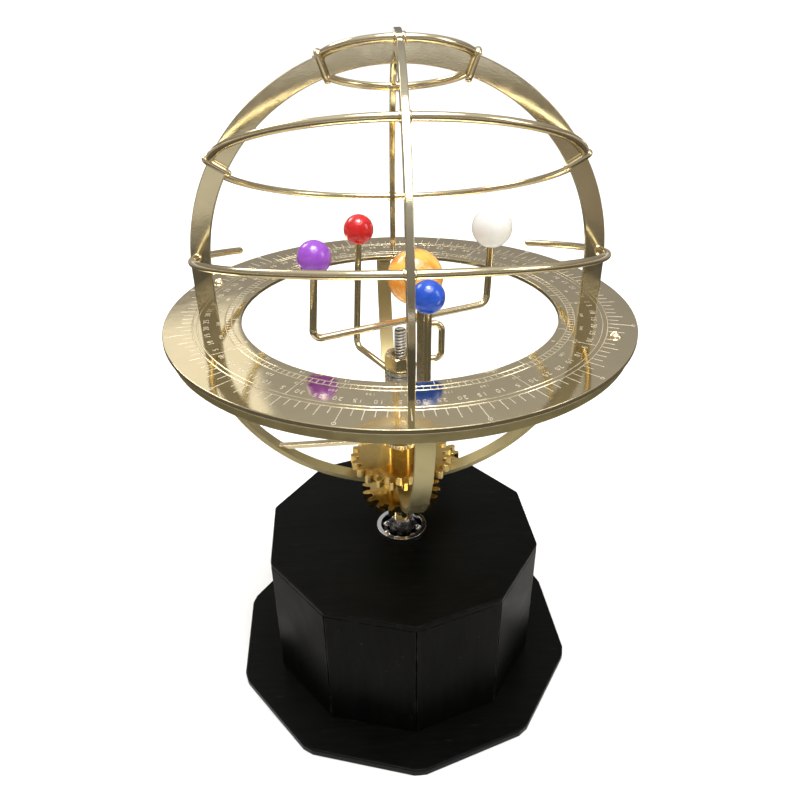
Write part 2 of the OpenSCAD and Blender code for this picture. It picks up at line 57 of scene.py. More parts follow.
# Dome wires: radius, y and z of the centre from the ring's top, tilt in degrees
POLAR = (23.3, 8.0, 71.5, 21.0)
TROPIC = (57.0, 12.4, 42.1, 23.5)
EQUATOR = (63.0, 0.0, 18.0, 14.3)
EQUATOR_START = 150.0
EQUATOR_SWEEP = 250.0
SCREW_ANGLES = (-22.6, 157.4)
SCREW_R = 68.5
ROD_R = 2.0
ROD_BOTTOM = 44.0
ROD_TOP = 140.8
THREAD_PITCH = 1.1
BODY_R = 52.3
PLATE_R = 67.8
BASE_H = 57.0
PLATE_T = 3.0
LID_T = 2.2
PANEL_T = 4.0
BASE_TURN = 20.9
BEARING_R = 9.5
CROSS_Z = RING_TOP - 5.2
CROSS_ANGLE = math.radians(24)
LOOP_WIRE_R = 1.1
POST_X = 5.7
POST_W = 4.2
POST_Y = 1.4
LOOP_HIGH = RING_TOP - 6.8
LOOP_LOW = RING_TOP - 19.8


# ---------------------------------------------------------------- materials
def new_material(name):
    """A material with only an output node, as (material, node maker)."""
    material = bpy.data.materials.new(name)
    material.use_nodes = True
    tree = material.node_tree
    tree.nodes.clear()
    return material, maker(tree)


def maker(tree):
    def make(kind, inputs=None, **settings):
        node = tree.nodes.new("ShaderNode" + kind)
        for key, value in settings.items():
            setattr(node, key, value)
        for key, value in (inputs or {}).items():
            socket = node.inputs[key]
            if isinstance(value, bpy.types.NodeSocket):
                tree.links.new(value, socket)
            else:
                socket.default_value = value
        return node
    return make


def rgba(colour):
    return (*colour, 1.0)


def noise(make, scale, detail=3.0, stretch=None, roughness=0.55, warp=0.0):
    """Noise in object space. The scale is per metre."""
    where = make("TexCoord").outputs["Object"]
    if stretch:
        where = make("Mapping", {"Vector": where, "Scale": stretch}).outputs["Vector"]
    node = make("TexNoise", {"Vector": where, "Scale": scale, "Detail": detail,
                             "Roughness": roughness, "Distortion": warp})
    return node.outputs["Fac"]


def span(make, value, low, high, from_low=0.3, from_high=0.7):
    node = make("MapRange", {"Value": value, "From Min": from_low, "From Max": from_high,
                             "To Min": low, "To Max": high})
    return node.outputs["Result"]


def blend_colours(make, factor, first, second):
    node = make("Mix", {0: factor, 6: rgba(first) if isinstance(first, tuple) else first,
                        7: rgba(second) if isinstance(second, tuple) else second}, data_type="RGBA")
    return node.outputs[2]


def bump(make, height, strength, distance, normal=None):
    inputs = {"Height": height, "Strength": strength, "Distance": distance}
    if normal is not None:
        inputs["Normal"] = normal
    return make("Bump", inputs).outputs["Normal"]


def metal(name, light, dark, rough, rough_spread, wave=0.00002, grain=0.000002, edge=0.00018,
          streaks=None, streak_depth=0.000002, tarnish=0.5, anisotropy=0.0):
    """Polished or brushed metal: uneven tone, smudged gloss, slightly wavy surface, softened edges."""
    material, make = new_material(name)
    patches = noise(make, 70.0, 4.0, warp=0.6)
    specks = noise(make, 900.0, 2.0)
    tone = blend_colours(make, span(make, patches, 0.0, tarnish), light, dark)
    tone = blend_colours(make, span(make, specks, 0.0, 0.12, 0.55, 0.75), tone, dark)
    smudge = noise(make, 190.0, 5.0, warp=1.2)
    gloss = span(make, smudge, rough, rough + rough_spread)
    normal = make("Bevel", {"Radius": edge}, samples=4).outputs["Normal"]
    normal = bump(make, noise(make, 45.0, 2.0), 0.35, wave * 20, normal)
    normal = bump(make, noise(make, 2600.0, 3.0), 0.5, grain * 10, normal)
    if streaks:
        lines = noise(make, 1.0, 4.0, stretch=streaks)
        normal = bump(make, lines, 0.6, streak_depth * 10, normal)
    shader = make("BsdfPrincipled", {"Base Color": tone, "Metallic": 1.0, "Roughness": gloss,
                                     "Normal": normal, "Anisotropic": anisotropy})
    make("OutputMaterial", {"Surface": shader.outputs["BSDF"]})
    return material


def plastic(name, light, dark, rough=0.12, inner=0.0):
    """Cast gloss ball: slightly uneven colour and gloss, faint mould ripple, a clear coat."""
    material, make = new_material(name)
    tone = blend_colours(make, span(make, noise(make, 260.0, 3.0, warp=0.8), 0.0, 1.0), light, dark)
    normal = bump(make, noise(make, 520.0, 2.0), 0.2, 0.00006)
    normal = bump(make, noise(make, 4200.0, 2.0), 0.3, 0.000008, normal)
    shader = make("BsdfPrincipled", {
        "Base Color": tone, "Roughness": span(make, noise(make, 700.0, 4.0), rough, rough + 0.14),
        "Normal": normal, "Coat Weight": 0.6, "Coat Roughness": 0.06,
        "Subsurface Weight": inner, "Subsurface Radius": (0.004, 0.003, 0.002), "Subsurface Scale": 0.4})
    make("OutputMaterial", {"Surface": shader.outputs["BSDF"]})
    return material


def marbled(name):
    """Amber ball with drifting lighter and darker veins."""
    material, make = new_material(name)
    where = make("TexCoord").outputs["Object"]
    veins = make("TexWave", {"Vector": where, "Scale": 42.0, "Distortion": 9.0, "Detail": 3.0,
                             "Detail Scale": 1.4}, wave_type="BANDS", bands_direction="DIAGONAL")
    tone = blend_colours(make, span(make, veins.outputs["Fac"], 0.0, 1.0, 0.15, 0.9),
                         (0.76, 0.28, 0.025), (0.90, 0.47, 0.07))
    tone = blend_colours(make, span(make, noise(make, 230.0, 5.0, warp=1.6), 0.0, 0.75, 0.5, 0.8),
                         tone, (0.95, 0.62, 0.20))
    normal = bump(make, noise(make, 600.0, 2.0), 0.2, 0.00006)
    shader = make("BsdfPrincipled", {
        "Base Color": tone, "Roughness": span(make, noise(make, 800.0, 4.0), 0.14, 0.3), "Normal": normal,
        "Coat Weight": 0.7, "Coat Roughness": 0.06, "Subsurface Weight": 0.25,
        "Subsurface Radius": (0.005, 0.003, 0.001), "Subsurface Scale": 0.5})
    make("OutputMaterial", {"Surface": shader.outputs["BSDF"]})
    return material


def lacquered_wood(name, grain):
    """Black satin stain over wood: fine grain, dust, hairline scratches, paler worn edges."""
    material, make = new_material(name)
    lines = noise(make, 1.0, 6.0, stretch=grain, roughness=0.7)
    scratch = noise(make, 1.0, 2.0, stretch=(90.0, 2600.0, 700.0))
    dust = noise(make, 2400.0, 2.0)
    clouds = noise(make, 28.0, 5.0, warp=0.8)
    tone = blend_colours(make, span(make, lines, 0.0, 1.0, 0.35, 0.65),
                         (0.0010, 0.0012, 0.0009), (0.0028, 0.0031, 0.0023))
    tone = blend_colours(make, span(make, dust, 0.0, 0.15, 0.68, 0.8), tone, (0.05, 0.05, 0.042))
    tone = blend_colours(make, span(make, scratch, 0.0, 0.5, 0.70, 0.78), tone, (0.05, 0.05, 0.045))
    soft = make("Bevel", {"Radius": 0.0006}, samples=4).outputs["Normal"]
    corner = make("VectorMath", {0: soft, 1: make("NewGeometry").outputs["Normal"]}, operation="DOT_PRODUCT")
    worn = span(make, corner.outputs["Value"], 0.7, 0.0, 0.86, 0.985)
    patches = span(make, noise(make, 240.0, 5.0), 0.0, 1.0, 0.45, 0.7)
    patchy = make("Math", {0: worn, 1: patches}, operation="MULTIPLY")
    tone = blend_colours(make, patchy.outputs["Value"], tone, (0.075, 0.066, 0.052))
    normal = bump(make, lines, 0.35, 0.00005, soft)
    normal = bump(make, noise(make, 1500.0, 3.0), 0.25, 0.00002, normal)
    shader = make("BsdfPrincipled", {
        "Base Color": tone, "Roughness": span(make, clouds, 0.30, 0.46), "Normal": normal,
        "Specular IOR Level": 0.07})
    make("OutputMaterial", {"Surface": shader.outputs["BSDF"]})
    return material


POLISHED = metal("polished_brass", (0.86, 0.755, 0.50), (0.74, 0.61, 0.36), 0.07, 0.10)
MIRROR = metal("ring_mirror", (0.84, 0.745, 0.50), (0.74, 0.63, 0.40), 0.035, 0.07, wave=0.000012,
               grain=0.000001)
BAND = metal("band_brass", (0.66, 0.59, 0.42), (0.46, 0.41, 0.29), 0.08, 0.07, wave=0.00001,
             streaks=(500.0, 60.0, 500.0), streak_depth=0.000001)
SATIN = metal("satin_brass", (0.62, 0.54, 0.29), (0.50, 0.43, 0.23), 0.30, 0.12, wave=0.00003,
              streaks=(120.0, 120.0, 1800.0))
RIM = metal("rim_brass", (0.80, 0.70, 0.38), (0.66, 0.56, 0.28), 0.30, 0.14)
ETCHED = metal("etched_lines", (0.97, 0.90, 0.74), (0.86, 0.76, 0.58), 0.42, 0.12)
GEAR = metal("gear_brass", (0.70, 0.51, 0.19), (0.56, 0.37, 0.11), 0.10, 0.14, wave=0.00002,
             streaks=(700.0, 700.0, 60.0))
STEEL = metal("zinc_steel", (0.72, 0.70, 0.66), (0.50, 0.48, 0.45), 0.20, 0.16)
# Near-black steel, painted shade: stands in for the shade inside the bearing and in the rod's thread grooves
PAINTED_SHADE_STEEL = metal("painted_shade_steel", (0.07, 0.065, 0.06), (0.035, 0.032, 0.03), 0.25, 0.16)
CHROME = metal("bearing_steel", (0.80, 0.81, 0.83), (0.62, 0.63, 0.65), 0.08, 0.10)
WOOD_FLAT = lacquered_wood("black_wood_flat", (60.0, 900.0, 60.0))
WOOD_UPRIGHT = lacquered_wood("black_wood_upright", (420.0, 420.0, 40.0))
SUN = marbled("sun_amber")
PURPLE = plastic("purple_gloss", (0.30, 0.070, 0.51), (0.24, 0.05, 0.43), inner=0.1)
RED = plastic("red_gloss", (0.62, 0.006, 0.010), (0.50, 0.003, 0.006), inner=0.1)
BLUE = plastic("blue_gloss", (0.010, 0.085, 0.56), (0.006, 0.055, 0.42), inner=0.1)
WHITE = plastic("white_gloss", (0.86, 0.85, 0.81), (0.80, 0.79, 0.75), inner=0.2)

NODE_MATERIALS = {
    STEEL: "base_screws spindle_sleeve spindle_washers spindle_nuts lay_shaft arm_washers",
    CHROME: "bearing_outer_race bearing_balls",
    # The inner race and retainer get the near-black steel as painted shade inside the bearing
    PAINTED_SHADE_STEEL: "bearing_retainer bearing_inner_race",
    GEAR: "spindle_spacer lower_gear cage_bush lay_gear lay_pinion lay_collars planet_tube big_gear",
    RIM: "ring_backing",
    POLISHED: "polar_wire tropic_wire strap_rivets finger_loop cross_wire "
              "red_wire blue_wire gear_bridge lay_arm tube_nut sun_post",
    SATIN: "side_strap front_strap",
    WOOD_FLAT: "bearing_block",
    SUN: "sun_ball", PURPLE: "purple_ball", WHITE: "white_ball", RED: "red_ball", BLUE: "blue_ball",
}
for shared, names in NODE_MATERIALS.items():
    for name in names.split():
        NODES[name].data.materials.clear()
        NODES[name].data.materials.append(shared)


# ---------------------------------------------------------------- mesh tools
def even_shading(thing, crease):
    """Smooth shading that stays flat across wide faces between rounded edges."""
    thing.data.shade_smooth()
    thing.data.set_sharp_from_angle(angle=math.radians(crease))
    weighted = thing.modifiers.new("even_shading", "WEIGHTED_NORMAL")
    weighted.keep_sharp = True


def piece(name, shells, material, body, replaced=(), crease=35.0, bevel=0.0, bevel_steps=3):
    """One object from a list of (points in mm, faces), with its normals outward."""
    mesh = bpy.data.meshes.new(name)
    bm = bmesh.new()
    for points, faces in shells:
        corners = [bm.verts.new(Vector(p) * MM) for p in points]
        for face in faces:
            bm.faces.new([corners[i] for i in face])
    bmesh.ops.remove_doubles(bm, verts=bm.verts, dist=1e-7)
    bmesh.ops.recalc_face_normals(bm, faces=bm.faces)
    if bevel:
        edges = [e for e in bm.edges if e.is_manifold and e.calc_face_angle() > 0.3]
        bmesh.ops.bevel(bm, geom=edges, offset=bevel * MM, segments=bevel_steps, profile=0.6,
                        affect="EDGES", clamp_overlap=True)
    bm.to_mesh(mesh)
    bm.free()
    mesh.materials.append(material)
    thing = bpy.data.objects.new(name, mesh)
    even_shading(thing, crease)
    bpy.context.scene.collection.objects.link(thing)
    if body:
        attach(thing, body)
    if replaced:
        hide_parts(*replaced)
    return thing


def carve(thing, shells, crease=35.0):
    """Cuts closed shells out of a piece."""
    cutter = piece("cutter", shells, ETCHED, None)
    thing.modifiers.clear()
    cut = thing.modifiers.new("cut", "BOOLEAN")
    cut.object = cutter
    cut.solver = "EXACT"
    graph = bpy.context.evaluated_depsgraph_get()
    mesh = bpy.data.meshes.new_from_object(thing.evaluated_get(graph))
    thing.modifiers.clear()
    thing.data = mesh
    even_shading(thing, crease)
    bpy.data.objects.remove(cutter)


def lathe(profile, segments=192, centre=(0.0, 0.0)):
    """A closed (radius, z) outline turned about an upright line."""
    points, faces, rows = [], [], len(profile)
    for k in range(segments):
        angle = 2 * math.pi * k / segments
        for radius, z in profile:
            points.append((centre[0] + radius * math.cos(angle), centre[1] + radius * math.sin(angle), z))
    for k in range(segments):
        for i in range(rows):
            a, b = k * rows, (k + 1) % segments * rows
            faces.append((a + i, b + i, b + (i + 1) % rows, a + (i + 1) % rows))
    return points, faces


def prism(outline, low, high):
    """An upright prism on an (x, y) outline."""
    n = len(outline)
    points = [(x, y, low) for x, y in outline] + [(x, y, high) for x, y in outline]
    faces = [tuple(range(n)), tuple(range(n, 2 * n))]
    faces += [(i, (i + 1) % n, n + (i + 1) % n, n + i) for i in range(n)]
    return points, faces


def ring_section(radius, sides):
    return [(radius * math.cos(2 * math.pi * k / sides), radius * math.sin(2 * math.pi * k / sides))
            for k in range(sides)]


def sweep(path, section, across, closed=False, rounded=0.0):
    """A section swept along a flat path, with across as the normal of the path's plane.

    Rounded ends bulge by that much.
    """
    across = Vector(across).normalized()
    path = [Vector(p) for p in path]
    count = len(path)
    rings = []
    for i, point in enumerate(path):
        before = path[i - 1] if i or closed else point
        after = path[(i + 1) % count] if i + 1 < count or closed else point
        along = (after - before).normalized()
        rings.append((point, along.cross(across).normalized(), 1.0))
    if rounded:
        steps = 4
        start, end = (path[0] - path[1]).normalized(), (path[-1] - path[-2]).normalized()
        for k in range(1, steps + 1):
            angle = math.pi / 2 * k / steps
            size = max(math.cos(angle), 0.02)
            rings.insert(0, (path[0] + start * rounded * math.sin(angle), rings[0][1], size))
            rings.append((path[-1] + end * rounded * math.sin(angle), rings[-1][1], size))
    points = [tuple(p + side * a * size + across * b * size) for p, side, size in rings for a, b in section]
    n, total = len(section), len(rings)
    faces = []
    for i in range(total if closed else total - 1):
        j = (i + 1) % total
        faces += [(i * n + k, j * n + k, j * n + (k + 1) % n, i * n + (k + 1) % n) for k in range(n)]
    if not closed:
        faces += [tuple(range(n)), tuple(range((total - 1) * n, total * n))]
    return points, faces


def rounded_bar(width, thickness, corner, steps=3):
    """A rectangle with rounded corners, as a section."""
    section = []
    for sx, sy, start in ((1, 1, 0), (-1, 1, 90), (-1, -1, 180), (1, -1, 270)):
        for k in range(steps + 1):
            angle = math.radians(start + 90 * k / steps)
            section.append((sx * (width / 2 - corner) + corner * math.cos(angle),
                            sy * (thickness / 2 - corner) + corner * math.sin(angle)))
    return section


def at_angle(radius, degrees):
    angle = math.radians(degrees)
    return radius * math.cos(angle), radius * math.sin(angle)


def on_wire(wire, degrees):
    """A point on the centreline of a dome wire."""
    radius, y, z, tilt = wire
    a, b = at_angle(radius, degrees)
    tilt = math.radians(tilt)
    return Vector((a, y + b * math.cos(tilt), RING_TOP + z - b * math.sin(tilt)))


def wire_normal(wire):
    tilt = math.radians(wire[3])
    return Vector((0.0, math.sin(tilt), math.cos(tilt)))


def bead(point, axis, inner, bulge, length, uneven=0.0):
    """A solder bead round a wire: a small closed ring with a bellied outside."""
    axis = Vector(axis).normalized()
    side = axis.orthogonal().normalized()
    other = axis.cross(side)
    profile = [(inner, -length), (inner + bulge * 0.55, -length * 0.62), (inner + bulge, -length * 0.1),
               (inner + bulge * 0.8, length * 0.45), (inner, length), (inner - 0.25, 0.0)]
    sides, rows = 20, 6
    points, faces = [], []
    for k in range(sides):
        angle = 2 * math.pi * k / sides
        out = side * math.cos(angle) + other * math.sin(angle)
        swell = 1.0 + uneven * math.sin(3 * angle + point[0])
        for radius, z in profile:
            reach = inner + (radius - inner) * swell
            points.append(tuple(Vector(point) + out * reach + axis * z))
    for k in range(sides):
        a, b = k * rows, (k + 1) % sides * rows
        faces += [(a + i, b + i, b + (i + 1) % rows, a + (i + 1) % rows) for i in range(rows)]
    return points, faces


# ---------------------------------------------------------------- ring
def grooved_profile():
    groove, depth, soft = 0.18, 0.16, 0.28
    near = 0.08
    top = [(RING_HOLE_R, RING_TOP - soft), (RING_HOLE_R + near, RING_TOP - near), (RING_HOLE_R + soft, RING_TOP)]
    for radius in GROOVES:
        top += [(radius - groove, RING_TOP), (radius - groove * 0.5, RING_TOP - depth),
                (radius + groove * 0.5, RING_TOP - depth), (radius + groove, RING_TOP)]
    top += [(RING_R - soft, RING_TOP), (RING_R - near, RING_TOP - near), (RING_R, RING_TOP - soft)]
    low = RING_TOP - RING_T
    bottom = [(RING_R, low + soft), (RING_R - near, low + near), (RING_R - soft, low),
              (RING_HOLE_R + soft, low), (RING_HOLE_R + near, low + near), (RING_HOLE_R, low + soft)]
    return top + bottom


piece("ring_plate_engraved", [lathe(grooved_profile(), 360)], MIRROR, "cage",
      ["ring_plate"])

MARK_LOW, MARK_HIGH = RING_TOP - 0.05, RING_TOP + 0.012


def tick(degrees, inner, outer, width):
    ax, ay = at_angle(1.0, degrees)
    outline = [(r * ax - w * ay, r * ay + w * ax)
               for r, w in ((inner, -width / 2), (outer, -width / 2), (outer, width / 2), (inner, width / 2))]
    return prism(outline, MARK_LOW, MARK_HIGH)


def thin_ring(radius, width, centre=(0.0, 0.0), segments=180):
    return lathe([(radius - width / 2, MARK_LOW), (radius + width / 2, MARK_LOW),
                  (radius + width / 2, MARK_HIGH), (radius - width / 2, MARK_HIGH)], segments, centre)


marks = [tick(2.0 * k, 54.15, 55.85, 0.2) for k in range(180)]
for k in range(144):
    degrees = 2.5 * k
    reach = 71.0 if k % 4 == 0 else 69.3
    if k % 12 == 6:
        reach = 73.4
        marks.append(thin_ring(0.55, 0.22, at_angle(73.6, degrees), 20))
    marks.append(tick(degrees, 66.2, reach, 0.26))
for k in range(12):
    marks.append(tick(30.0 * k, 56.2, 64.3, 0.22))
    marks.append(tick(30.0 * k + 7.5, 51.6, 53.8, 0.22))
for radius in GROOVES:
    marks.append(lathe([(radius - 0.1, RING_TOP - 0.2), (radius + 0.1, RING_TOP - 0.2),
                        (radius + 0.1, RING_TOP - 0.12), (radius - 0.1, RING_TOP - 0.12)], 240))
piece("ring_scale_marks", marks, ETCHED, "cage")


def glyph(character):
    """The outline mesh of one digit, one unit high, as (points, faces)."""
    curve = bpy.data.curves.new("digit", "FONT")
    curve.body = character
    curve.size = 1.0
    curve.extrude = 0.5
    curve.resolution_u = 3
    holder = bpy.data.objects.new("digit", curve)
    bpy.context.scene.collection.objects.link(holder)
    mesh = bpy.data.meshes.new_from_object(holder.evaluated_get(bpy.context.evaluated_depsgraph_get()))
    points = [tuple(v.co) for v in mesh.vertices]
    faces = [tuple(p.vertices) for p in mesh.polygons]
    bpy.data.objects.remove(holder)
    bpy.data.meshes.remove(mesh)
    return points, faces


DIGITS = {c: glyph(c) for c in "0123456789"}
ADVANCE = 0.62


def number(text, radius, degrees, height):
    """A number standing on the ring, its head outward."""
    shells = []
    for i, character in enumerate(text):
        points, faces = DIGITS[character]
        shift = (i - len(text) / 2) * ADVANCE * height
        placed = []
        for x, y, z in points:
            along, out = shift + x * height, radius + (y - 0.35) * height
            turned = math.radians(degrees - 90)
            placed.append((along * math.cos(turned) - out * math.sin(turned),
                           along * math.sin(turned) + out * math.cos(turned),
                           MARK_HIGH if z > 0 else MARK_LOW))
        shells.append((placed, faces))
    return shells


numbers = []
for k in range(72):
    numbers += number(str(5 + 5 * (k % 6)), 61.9, 90.0 - 5.0 * k - 2.5, 2.5)
for k in range(36):
    numbers += number(str(10 * k if k else 360), 58.2, 90.0 - 10.0 * k, 1.5)
for k in range(24):
    numbers += number(str(k + 1), 52.5, 90.0 - 15.0 * (k + 1) - 3.0, 1.5)
piece("ring_numerals", numbers, ETCHED, "cage")

for index, degrees in enumerate(SCREW_ANGLES):
    centre = at_angle(SCREW_R, degrees)
    dome = [(0.001, RING_TOP + 1.35), (0.55, RING_TOP + 1.28), (1.05, RING_TOP + 1.08), (1.5, RING_TOP + 0.75),
            (1.85, RING_TOP + 0.35), (1.95, RING_TOP + 0.08), (1.93, RING_TOP - 0.02), (1.0, RING_TOP - 0.02),
            (1.0, RING_TOP - 3.0), (0.001, RING_TOP - 3.0)]
    head = piece(f"ring_screw_{index}", [lathe(dome, 48, centre)], POLISHED, "cage",
                 ["ring_screws"] if index == 0 else [])
    slots = []
    for turn in (degrees + 20.0, degrees + 110.0):
        ax, ay = at_angle(1.0, turn)
        corners = ((-1.05, -0.2), (1.05, -0.2), (1.05, 0.2), (-1.05, 0.2))
        outline = [(centre[0] + a * ax - b * ay, centre[1] + a * ay + b * ax) for a, b in corners]
        slots.append(prism(outline, RING_TOP + 0.55, RING_TOP + 2.0))
    carve(head, slots[:1])
    carve(head, slots[1:])


# ---------------------------------------------------------------- dome
def arch_path(outer, along_x):
    middle = outer - BAND_W / 2
    path = [(middle, RING_TOP - 0.5), (middle, RING_TOP + 4.0), (middle, RING_TOP + 9.0)]
    turns = [math.pi * k / 96 for k in range(97)]
    path += [(middle * math.cos(turn), DOME_Z + middle * math.sin(turn)) for turn in turns]
    path += [(-middle, RING_TOP + 9.0), (-middle, RING_TOP + 4.0), (-middle, RING_TOP - 0.5)]
    return [(a, 0.0, z) if along_x else (0.0, a, z) for a, z in path]


bar_section = rounded_bar(BAND_W, BAND_T, 0.28)
piece("side_band_rounded", [sweep(arch_path(SIDE_R, True), bar_section, (0, 1, 0))], BAND, "cage",
      ["side_band"])
piece("front_band_rounded", [sweep(arch_path(FRONT_R, False), bar_section, (1, 0, 0))], BAND, "cage",
      ["front_band"])

round_section = ring_section(WIRE_R, 24)
margin = math.degrees(WIRE_R / EQUATOR[0])
equator_steps = 180
equator_path = [on_wire(EQUATOR, EQUATOR_START + margin + (EQUATOR_SWEEP - 2 * margin) * k / equator_steps)
                for k in range(equator_steps + 1)]
piece("equator_wire_drawn", [sweep(equator_path, round_section, wire_normal(EQUATOR), rounded=WIRE_R)],
      POLISHED, "cage", ["equator_wire"])

def hook(wire, side):
    """The end of a dome wire, turned round the outer edge of the side band and back across its face."""
    dip = math.degrees(math.asin(-wire[1] / (wire[0] * math.cos(math.radians(wire[3])))))
    spot = on_wire(wire, dip if side > 0 else 180 - dip)
    outward = Vector((spot[0], 0.0, spot[2] - DOME_Z))
    reach = outward.length
    outward.normalize()
    turn = BAND_T / 2 + WIRE_R
    path = [(reach - 0.8, 0.0)]
    half = turn / 2
    around = [math.pi * k / 12 for k in range(13)]
    path += [(SIDE_R - 0.2 + half * math.sin(a), -half + half * math.cos(a)) for a in around]
    path += [(SIDE_R - BAND_W * (0.3 + 0.2 * k), -turn) for k in range(5)]
    points = [outward * r + Vector((0.0, y, DOME_Z)) for r, y in path]
    across = outward.cross(Vector((0, 1, 0)))
    return sweep(points, ring_section(WIRE_R * 0.9, 20), across, rounded=WIRE_R * 0.8)


piece("dome_wire_hooks", [hook(wire, side) for wire in (POLAR, TROPIC) for side in (-1, 1)], POLISHED, "cage",
      crease=60.0)

beads = []
for wire in (POLAR, TROPIC, EQUATOR):
    radius, y, _, tilt = wire
    dip = math.degrees(math.asin(-y / (radius * math.cos(math.radians(tilt)))))
    for degrees in (dip, 180 - dip):
        along = on_wire(wire, degrees + 1) - on_wire(wire, degrees - 1)
        for side in (-1, 1):
            spot = on_wire(wire, degrees) + along.normalized() * side * (BAND_T / 2 + 0.1)
            beads.append(bead(spot, along * side, WIRE_R, 0.42, 0.55, 0.25))
    for degrees in (90, -90):
        if wire is EQUATOR and degrees == 90:
            continue
        for side in (-1, 1):
            spot = on_wire(wire, degrees) + Vector((side * (BAND_T / 2 + 0.1), 0, 0))
            beads.append(bead(spot, (side, 0, 0), WIRE_R, 0.42, 0.55, 0.25))
piece("dome_solder_beads", beads, POLISHED, "cage", crease=60.0)


# ---------------------------------------------------------------- spindle and column
def thread(radius, depth, pitch, low, high, chamfer=0.5, sides=40, rows_per_turn=8):
    """A rod with a right-handed thread cut in it and both ends chamfered."""
    rows = int((high - low) / pitch * rows_per_turn) + 1
    points, faces = [], []
    for i in range(rows + 1):
        z = low + (high - low) * i / rows
        for j in range(sides):
            phase = (z / pitch - j / sides) % 1.0
            ridge = min(1.0, 1.5 - abs(phase - 0.5) * 2.9) if abs(phase - 0.5) < 0.5 else 0.0
            reach = radius - depth * (1.0 - max(0.0, ridge))
            ends = radius - chamfer * max(0.0, 1.0 - min(z - low, high - z) / chamfer)
            points.append((*at_angle(min(reach, ends), 360.0 * j / sides), z))
    for i in range(rows):
        for j in range(sides):
            k = (j + 1) % sides
            faces.append((i * sides + j, i * sides + k, (i + 1) * sides + k, (i + 1) * sides + j))
    faces += [tuple(range(sides)), tuple(range(rows * sides, (rows + 1) * sides))]
    return points, faces


rod = piece("spindle_rod_threaded", [thread(ROD_R, 0.5, THREAD_PITCH, ROD_BOTTOM, ROD_TOP)], STEEL, "spindle",
            ["spindle_rod"], crease=50.0)
# Painted shade: the recessed thread-root faces get the near-black steel, darkening the grooves
rod.data.materials.append(PAINTED_SHADE_STEEL)
for face in rod.data.polygons:
    if math.hypot(face.center[0], face.center[1]) < (ROD_R - 0.2) * MM and abs(face.normal[2]) < 0.9:
        face.material_index = 1

joints = [bead((POST_X + POST_W, POST_Y, z), (1, 0, 0), LOOP_WIRE_R, 0.35, 0.6, 0.3)
          for z in (LOOP_LOW, LOOP_HIGH)]
cross_along = Vector((math.cos(CROSS_ANGLE), math.sin(CROSS_ANGLE), 0))
for x, side in ((POST_X, -1), (POST_X + POST_W / 2, 1)):
    reach = x / cross_along[0]
    spot = (x + side * 0.1, reach * cross_along[1], CROSS_Z)
    joints.append(bead(spot, cross_along * side, WIRE_R, 0.45, 0.7, 0.3))
piece("post_solder_beads", joints, POLISHED, "column", crease=60.0)


# ---------------------------------------------------------------- base
def corners(radius, blunt):
    """The ten corners of the base, each cut short by the blunt amount."""
    outline = []
    for k in range(10):
        here = Vector(at_angle(radius, BASE_TURN + 36 * k))
        for neighbour in (-1, 1):
            other = Vector(at_angle(radius, BASE_TURN + 36 * (k + neighbour)))
            outline.append(tuple(here + (other - here).normalized() * blunt))
    return outline


plate = piece("base_plate_eased", [prism(corners(PLATE_R, 2.2), 0.0, PLATE_T)], WOOD_FLAT, "base",
              ["base_plate"], bevel=0.55)
panel_flat = BODY_R * math.cos(math.radians(18))
first_panel = BASE_TURN + 18
holes = [lathe([(0.001, -0.5), (3.1, -0.5), (1.35, 1.45), (1.35, 4.0), (0.001, 4.0)], 32,
               at_angle(panel_flat - PANEL_T / 2, first_panel + 72 * k)) for k in range(5)]
carve(plate, holes)

panels = []
half_out = BODY_R * math.sin(math.radians(18)) - 0.15
half_in = half_out - PANEL_T * math.tan(math.radians(18))
for k in range(10):
    ax, ay = at_angle(1.0, first_panel + 36 * k)
    trapezoid = ((panel_flat, -half_out), (panel_flat, half_out), (panel_flat - PANEL_T, half_in),
                 (panel_flat - PANEL_T, -half_in))
    outline = [(r * ax - w * ay, r * ay + w * ax) for r, w in trapezoid]
    panels.append(prism(outline, PLATE_T, BASE_H - LID_T))
piece("side_panels_eased", panels, WOOD_UPRIGHT, "base", ["side_panels"], bevel=0.35)

lid = piece("base_lid_eased", [prism(corners(BODY_R, 0.5), BASE_H - LID_T, BASE_H)], WOOD_FLAT, "base",
            ["base_lid"], bevel=0.4)
carve(lid, [lathe([(0.001, 40.0), (BEARING_R + 0.05, 40.0), (BEARING_R + 0.05, BASE_H - 0.25),
                   (BEARING_R + 0.3, BASE_H + 0.02), (BEARING_R + 0.3, 70.0), (0.001, 70.0)], 96)])


# ---------------------------------------------------------------- stage, light, camera
def stage_mesh(name, points, faces, colour, rough=0.6, glow=0.0):
    material, make = new_material(name)
    tone = blend_colours(make, noise(make, 6.0, 3.0), colour, tuple(0.975 * c for c in colour))
    shader = make("BsdfPrincipled", {"Base Color": tone, "Roughness": rough, "Specular IOR Level": 0.2,
                                     "Emission Color": rgba(colour), "Emission Strength": glow})
    make("OutputMaterial", {"Surface": shader.outputs["BSDF"]})
    mesh = bpy.data.meshes.new(name)
    mesh.from_pydata(points, [], faces)
    mesh.materials.append(material)
    thing = bpy.data.objects.new(name, mesh)
    bpy.context.scene.collection.objects.link(thing)
    return thing


def disc(radius, z, inner=0.0, segments=96):
    points, faces = [], []
    for k in range(segments):
        a, b = math.cos(2 * math.pi * k / segments), math.sin(2 * math.pi * k / segments)
        points += [(inner * a, inner * b, z), (radius * a, radius * b, z)]
    for k in range(segments):
        j = (k + 1) % segments
        faces.append((2 * k, 2 * k + 1, 2 * j + 1, 2 * j))
    return points, faces


def reflected_only(thing):
    """A studio card that shapes reflections and isn't seen itself."""
    thing.visible_camera = False
    thing.visible_diffuse = False
    thing.visible_shadow = False
    thing.visible_transmission = False


